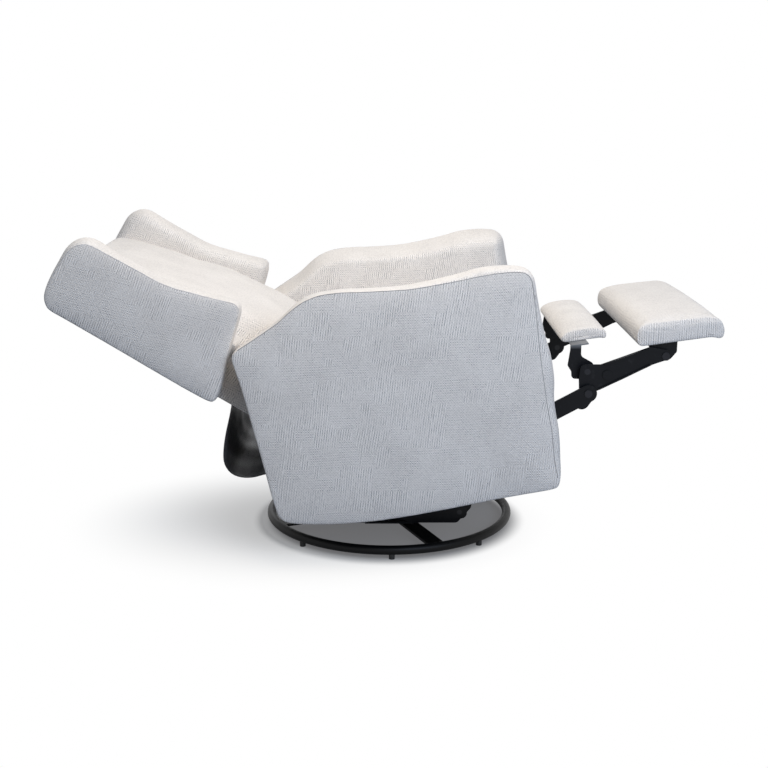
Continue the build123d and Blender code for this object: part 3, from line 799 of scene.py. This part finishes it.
wingSettings = {
    "seam": [(-748, 612, 3), (-750, 628, 4), (-742, 650, 6), (-727, 676, 8), (-708, 704, 10),
             (-692, 726, 12), (-676, 738, 12), (-661, 742, 12), (-644, 740, 10), (-610, 722, 6),
             (-575, 702.5, 4), (-540, 683, 4), (-505, 663, 4), (-470, 648, 5), (-434, 638, 4.5),
             (-399, 628.5, 4), (-363, 619.5, 3), (-340, 614, 2), (-330, 606, 2), (-329, 594, 3),
             (-335, 569, 3), (-351, 519, 3), (-366, 462, 3), (-380, 412, 3), (-390, 394, 3),
             (-402, 396, 2), (-442, 418, 2), (-510, 459, 2), (-578, 501, 2), (-650, 545, 2),
             (-713, 583, 2), (-741, 600, 2)],
    "rings": [(0.2900, 0.0, -0.022), (0.2912, 0.1, -0.015), (0.2955, 0.4, -0.009),
              (0.304, 0.75, -0.004), (0.318, 1.0, 0.0), (0.335, 1.0, 0.0), (0.350, 0.85, 0.0),
              (0.3615, 0.5, 0.0), (0.3675, 0.0, 0.0)],
    "spacing": 0.011, "grid": 0.013, "puff": 0.006, "innerPuff": 0.0, "puffReach": 0.022,
    "seamSide": 0.3672, "seamRadius": 0.0006,
    "seamShows": lambda p: p[1] > 0.64 - (p[0] + 0.75) * 0.12,
}

makeSidePair("wing", wingSettings, "back", weaveWing, coats["seamThreadAndShadePale"])
print("wings ready")


# stuffed pieces: a plain closed form, blown out by its filling

coverSettings = {"quality": 3, "mass": 0.3, "shearShare": 0.4, "bending": 0.4, "frames": 20}


def copyOf(name, node):
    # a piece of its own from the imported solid, which stays as it is
    obj = bpy.data.objects.new(name, nodes[node].data.copy())
    bpy.context.collection.objects.link(obj)
    obj.data.materials.clear()
    editMesh(obj)
    bpy.ops.mesh.select_all(action="SELECT")
    bpy.ops.mesh.remove_doubles(threshold=0.00005)
    doneEditing()
    return obj


def blowOut(obj, s, c=coverSettings):
    # s["cap"] is the most that the cover moves, s["held"] says which of it is tacked down
    start = [vert.co.copy() for vert in obj.data.vertices]
    group = obj.vertex_groups.new(name="tacked")
    group.add([index for index, place in enumerate(start) if s["held"](place)], 1.0, "REPLACE")
    activate(obj)
    cover = obj.modifiers.new("Cover", "CLOTH")
    cover.settings.quality = c["quality"]
    cover.settings.mass = c["mass"]
    cover.settings.tension_stiffness = s["stiff"]
    cover.settings.compression_stiffness = s["stiff"]
    cover.settings.shear_stiffness = s["stiff"] * c["shearShare"]
    cover.settings.bending_stiffness = c["bending"]
    cover.settings.use_pressure = True
    cover.settings.uniform_pressure_force = s["pressure"]
    cover.settings.effector_weights.gravity = 0
    cover.settings.vertex_group_mass = "tacked"
    cover.point_cache.frame_start = 1
    cover.point_cache.frame_end = c["frames"]
    for number in range(1, c["frames"] + 1):
        bpy.context.scene.frame_set(number)
    shown = obj.evaluated_get(bpy.context.evaluated_depsgraph_get())
    blown = [vert.co.copy() for vert in shown.to_mesh().vertices]
    shown.to_mesh_clear()
    obj.modifiers.remove(cover)
    for vert, place, end in zip(obj.data.vertices, start, blown):
        step = end - place
        if step.length > s["cap"]:
            step *= s["cap"] / step.length
        vert.co = place + step
    obj.vertex_groups.clear()
    bpy.context.scene.frame_set(1)


def steadyOrder(obj):
    # corners and faces in the order of their places: the filling's result depends on the order,
    # and the extrude operators give another one in each run
    mesh = obj.data
    places = [tuple(round(value, 6) for value in vert.co) for vert in mesh.vertices]
    rank = {place: index for index, place in enumerate(sorted(places))}
    faces = []
    for polygon in mesh.polygons:
        corners = [rank[places[index]] for index in polygon.vertices]
        first = corners.index(min(corners))
        faces.append(corners[first:] + corners[:first])
    obj.data = bpy.data.meshes.new(mesh.name)
    obj.data.from_pydata(sorted(places), [], sorted(faces))
    bpy.data.meshes.remove(mesh)


def swell(obj, s):
    applyModifier(obj, "REMESH", mode="VOXEL", voxel_size=s["voxel"])
    applyModifier(obj, "SMOOTH", iterations=s["soften"], factor=0.5)
    blowOut(obj, s)


def keepInside(obj, limit):
    # limit gives the half width that is free at a place
    for vert in obj.data.vertices:
        free = limit(vert.co)
        if abs(vert.co.x) > free:
            vert.co.x = math.copysign(free, vert.co.x)


def finishSoft(obj, material, body, node):
    applyModifier(obj, "SUBSURF", levels=1, render_levels=1)
    smoothShading(obj)
    obj.data.materials.clear()
    obj.data.materials.append(material)
    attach(obj, body)
    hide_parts(node)


# seat cushion

seatSettings = {
    "voxel": 0.012, "soften": 2, "stiff": 8, "pressure": 4.0, "cap": 0.016,
    # tacked down up to a line that rises towards the front, just above its board
    "held": lambda place: place.z < 0.335 + (-place.y + 0.19) * 0.1763 + 0.004,
    # half widths between the arms, and of the narrower rear
    "halfWidth": 0.2775, "halfRear": 0.254, "rearFrom": -0.150,
    # the rear of the top stands up against the back cushion
    "heel": 0.010, "heelAlong": (0.075, 0.150), "heelUp": (0.37, 0.42),
}


def makeSeat(s):
    seat = copyOf("seatCushion", "seat_cushion")
    swell(seat, s)
    for vert in seat.data.vertices:
        vert.co.z += s["heel"] * ease(vert.co.y, *s["heelAlong"]) * ease(vert.co.z, *s["heelUp"])
    keepInside(seat, lambda place: s["halfWidth"] if -place.y > s["rearFrom"] else s["halfRear"])
    finishSoft(seat, weave, "seat_body", "seat_cushion")


makeSeat(seatSettings)
print("seat ready")


# back cushion

backSettings = {
    "voxel": 0.012, "soften": 2, "stiff": 8, "pressure": 4.0, "cap": 0.012,
    "held": lambda place: False,
    "halfUpper": 0.2885, "halfLower": 0.2545, "upperFrom": 0.122,
    # how far the sides push out until wings or arms stop them, and from which half width
    "press": 0.016, "pressAcross": (0.195, 0.245),
    # and the foot down over the seat
    "foot": 0.010, "footAlong": (-0.050, 0.060),
    # over the arms the lower corners hang down by this much and roll in
    "cheekDrop": 0.030, "cheekRoll": 0.052, "cheekHalf": 0.278,
    "cheekOut": (0.075, 0.145), "cheekAcross": (0.205, 0.262), "cheekAlong": (0.140, 0.205),
    "cheekFree": (0.075, 0.12),
}


def makeBack(s):
    back = copyOf("backCushion", "back_cushion")
    swell(back, s)
    leaned = math.radians(lean["back"])
    sine, cosine = math.sin(leaned), math.cos(leaned)

    def alongOut(place):
        # along the back from its foot, and out towards the sitter
        run, up = -place.y - backFoot[0], place.z - backFoot[1]
        return up * sine - run * cosine, up * cosine + run * sine

    for vert in back.data.vertices:
        along, out = alongOut(vert.co)
        vert.co.x += math.copysign(s["press"] * ease(abs(vert.co.x), *s["pressAcross"]), vert.co.x)
        cheek = (ease(out, *s["cheekOut"]) * ease(abs(vert.co.x), *s["cheekAcross"])
                 * (1 - ease(along, *s["cheekAlong"])))
        along -= s["cheekDrop"] * cheek + s["foot"] * (1 - ease(along, *s["footAlong"]))
        out -= s["cheekRoll"] * cheek
        vert.co.y = -backFoot[0] - (out * sine - along * cosine)
        vert.co.z = backFoot[1] + out * cosine + along * sine

    def free(place):
        along, out = alongOut(place)
        if along > s["upperFrom"]:
            return s["halfUpper"]
        return s["halfLower"] + (s["cheekHalf"] - s["halfLower"]) * ease(out, *s["cheekFree"])

    keepInside(back, free)
    finishSoft(back, weaveBack, "back", "back_cushion")


makeBack(backSettings)
print("back cushion ready")


# footrest pads: the large one and the small one behind it

ottomanSettings = {
    "node": "ottoman_pad", "body": "ottoman", "start": (0.567, 0.499), "half": 0.272,
    # side outline from the rear lower edge: along, up, and how far it grows to the middle, in mm
    "seam": [(8, 0.5, 0), (60, 0.5, 0), (110, 0.5, 0), (158, 0.5, 0), (168, -1, 0), (176, -4, 0),
             (184, -5, 0), (191, 0, 1), (194, 13, 2), (191, 30, 3), (181, 42, 4), (152, 49, 6),
             (100, 52, 8), (50, 52, 8), (18, 50, 6), (2, 44, 4), (-5, 31, 3), (-6, 14, 2),
             (-2, 3, 0)],
    "spacing": 0.0075, "drop": 0.004,
}
flipperSettings = {
    "node": "flipper_pad", "body": "flipper", "start": (0.404, 0.494), "half": 0.200,
    "seam": [(8, 0.5, 0), (40, 0.5, 0), (70, 0.5, 0), (86, 0.5, 0), (94, -2, 0), (100, 0, 1),
             (101, 10, 2), (95, 18, 4), (80, 24, 6), (50, 27, 8), (20, 25, 7), (2, 19, 4),
             (-6, 11, 2), (-3, 2, 0)],
    "spacing": 0.006, "drop": 0.006,
}
# what both pads share: edge is the rounded side, spare what the stuffing may add to it
padSettings = {
    "step": 0.012, "edge": 0.006, "spare": 0.0018,
    "under": 0.002,        # the outline below this stays flat on the board
    "insets": (0.003, 0.006), "insetRise": 0.0012,
    "stiff": 9, "pressure": 2.0, "cap": 0.003,
    "held": lambda place: place.z < 0.003,
}


def makePad(name, own):
    # the side outline, drawn out across the chair and crowned towards the middle
    s = {**padSettings, **own}
    loop = smoothLoop(s["seam"], s["spacing"])
    normals = loopNormals(loop)
    half, edge = s["half"], s["edge"]
    pad = drawLoop(name, loop, -half)
    stops = [-half, -half + edge * 0.15, -half + edge * 0.45, -half + edge]
    inner = int((half - edge) / s["step"])
    stops += [-(half - edge) * (1 - index / inner) for index in range(1, inner + 1)]
    stops += [-stop for stop in reversed(stops[:-1])]
    for stop, following in zip(stops, stops[1:]):
        drawOut(following - stop, 0, 0)
    doneEditing()
    nearest = nearestOn(loop)
    for vert in pad.data.vertices:
        index = nearest(vert.co)
        # rounded over at the side, then crowned
        inward = min(1.0, (half - abs(vert.co.x)) / edge)
        shoulder = math.sqrt(max(0.0, 1 - (1 - inward) ** 2))
        crown = 1 - abs(vert.co.x / half) ** 3
        reach = loop[index][2] * crown - (1 - shoulder) * s["drop"]
        if loop[index][1] < s["under"]:
            reach = 0
        vert.co.y -= normals[index][0] * reach
        vert.co.z += normals[index][1] * reach
    outwardFaces(pad)
    editMesh(pad)
    pickFaces(pad, lambda face: abs(face.normal.x) > 0.99)
    for thickness in s["insets"]:
        bpy.ops.mesh.inset(thickness=thickness, depth=s["insetRise"])
    bpy.ops.mesh.poke()
    doneEditing()
    steadyOrder(pad)
    blowOut(pad, s)
    keepInside(pad, lambda place: half + s["spare"])
    pad.data.transform(Matrix.Translation((0, -s["start"][0], s["start"][1]))
                       @ Matrix.Rotation(-math.radians(lean["footrest"]), 4, "X"))
    finishSoft(pad, weaveRest, s["body"], s["node"])


makePad("ottomanPad", ottomanSettings)
makePad("flipperPad", flipperSettings)
print("footrest pads ready")


# slack black cloth behind the seat

clothSettings = {
    # forward and height from the back's lower edge, round the loop, to the rear rail
    "path": [(-0.3628, 0.3605), (-0.3680, 0.335), (-0.3765, 0.295), (-0.3815, 0.255),
             (-0.3800, 0.223), (-0.3660, 0.201), (-0.3440, 0.192), (-0.3180, 0.192),
             (-0.2900, 0.1985), (-0.2660, 0.200), (-0.2535, 0.193), (-0.2520, 0.176),
             (-0.2515, 0.160)],
    "width": 0.524, "across": 46, "along": 40, "thick": 0.0012,
    # folds: angle per metre across, change of angle along the cloth, start, and depth
    "folds": [(21, 2.1, 1.3, 0.0035), (47, -3.4, 0.0, 0.0018), (9, 0.0, 0.4, 0.003)],
    "blend": ((0, 0.30, 0.20), (0, 0.36, 0.345)),
}


def makeRearCloth(s):
    rows = s["path"]
    padded = [rows[0]] + rows + [rows[-1]]
    line = []
    for a, b, c, d in zip(padded, padded[1:], padded[2:], padded[3:]):
        line += [curvePoint(a, b, c, d, step / 10) for step in range(10)]
    line.append(rows[-1])
    lengths = lengthsAlong(line)
    clearSelection()
    bpy.ops.mesh.primitive_grid_add(x_subdivisions=s["across"], y_subdivisions=s["along"], size=1)
    cloth = bpy.context.object
    cloth.name = "rearCloth"
    for vert in cloth.data.vertices:
        share = vert.co.y + 0.5
        p, q, (forward, height) = stretchAt(line, lengths, share * lengths[-1])
        run, rise = q[0] - p[0], q[1] - p[1]
        size = math.hypot(run, rise) or 1
        x = vert.co.x * s["width"]
        # soft folds that die out at the two sewn ends
        slack = math.sin(math.pi * share) ** 0.8
        fold = slack * sum(math.sin(x * rate + start + turn * share) * depth
                           for rate, turn, start, depth in s["folds"])
        vert.co = (x, -(forward - rise / size * fold), height + run / size * fold)
    applyModifier(cloth, "SOLIDIFY", thickness=s["thick"], offset=0)
    outwardFaces(cloth)
    smoothShading(cloth, 50)
    cloth.data.materials.append(blackCloth)
    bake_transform(cloth)
    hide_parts("rear_cloth")


makeRearCloth(clothSettings)
print("rear cloth ready")


# panel behind the back, with its turned ends and the covered sides of the narrow part

panelSettings = {
    "lowHalf": 0.2645, "highHalf": 0.2912, "step": 0.128, "length": 0.498, "foot": -0.010,
    "skin": 0.008, "depth": 0.044, "side": 0.0022, "sideDepth": 0.120,
    "cutsAlong": (0.03, 0.09, 0.18, 0.24, 0.30, 0.36, 0.42, 0.47),
    "cutsAcross": (-0.2, -0.14, -0.07, 0, 0.07, 0.14, 0.2),
    "full": 0.006, "fullReach": 0.06,      # how far the skin stands over its rails
}


def makeOutsideBack(s):
    # drawn flat, across and along the back, then leaned with it
    low, high, foot, skin = s["lowHalf"], s["highHalf"], s["foot"], s["skin"]
    outline = [(-low, foot), (low, foot), (low, s["step"]), (high, s["step"]),
               (high, s["length"]), (-high, s["length"]), (-high, s["step"]), (-low, s["step"])]
    panel = drawFace("outsideBack", [point + (0,) for point in outline])
    drawOut(0, 0, skin)
    cuts = [(1, foot + skin), (1, s["length"] - skin)]
    cuts += [(0, sign * (half - s["side"])) for half in (low, high) for sign in (1, -1)]
    cuts += [(1, at) for at in (s["step"],) + s["cutsAlong"]]
    cuts += [(0, at) for at in s["cutsAcross"]]
    for axis, at in cuts:
        place, direction = [0, 0, 0], [0, 0, 0]
        place[axis], direction[axis] = at, 1
        bpy.ops.mesh.select_all(action="SELECT")
        bpy.ops.mesh.bisect(plane_co=place, plane_no=direction)

    def turnedUp(face):
        middle = face.calc_center_median()
        if abs(middle.z - skin) > 0.0005 or abs(face.normal.z) < 0.9:
            return False
        atEnd = middle.y < foot + skin or middle.y > s["length"] - skin
        return atEnd or abs(middle.x) > (low if middle.y < s["step"] else high) - s["side"]

    def narrowSide(face):
        middle = face.calc_center_median()
        return (abs(face.normal.z) > 0.9 and middle.z > s["depth"] - 0.0005
                and abs(middle.x) > low - s["side"] and middle.y < s["step"])

    pickFaces(panel, turnedUp)
    drawOut(0, 0, s["depth"] - skin)
    pickFaces(panel, narrowSide)
    drawOut(0, 0, s["sideDepth"] - s["depth"])
    doneEditing()
    outwardFaces(panel)
    # the skin is stretched a little full over its rails
    for vert in panel.data.vertices:
        if vert.co.z < 0.0005:
            half = low if vert.co.y < s["step"] else high
            across = max(0.0, 1 - (vert.co.x / half) ** 4)
            along = max(0.0, min(1.0, (vert.co.y - foot) / s["fullReach"],
                                 (s["length"] - vert.co.y) / s["fullReach"]))
            vert.co.z -= s["full"] * across * along
    applyModifier(panel, "BEVEL", width=0.001, segments=2, limit_method="ANGLE",
                  angle_limit=math.radians(50))
    applyModifier(panel, "SUBSURF", levels=2, render_levels=2, subdivision_type="SIMPLE")
    applyModifier(panel, "SMOOTH", iterations=6, factor=0.4)
    panel.data.transform(Matrix.Translation((0, -backFoot[0], backFoot[1]))
                         @ Matrix.Rotation(math.radians(lean["back"]), 4, "X"))
    outwardFaces(panel)
    smoothShading(panel, 40)
    panel.data.materials.append(weaveBack)
    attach(panel, "back")
    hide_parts("outside_back")


makeOutsideBack(panelSettings)
print("outside back ready")


# fabric wrapped round the low rear rail

railSettings = {
    "seam": [(-250.3, 140, 0), (-250.3, 200, 0), (-248, 202.3, 0), (-230.5, 202.3, 0),
             (-228, 200, 0), (-228, 141, 0), (-231, 138, 0), (-248, 138, 0)],
    "spacing": 0.006, "half": 0.2795, "steps": 20,
}


def makeRailCover(s):
    cover = drawLoop("rearRailCover", smoothLoop(s["seam"], s["spacing"]), -s["half"])
    for index in range(s["steps"]):
        drawOut(s["half"] * 2 / s["steps"], 0, 0)
    doneEditing()
    outwardFaces(cover)
    smoothShading(cover, 60)
    cover.data.materials.append(weave)
    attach(cover, "seat_body")
    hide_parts("rear_rail")


makeRailCover(railSettings)
print("rail cover ready")
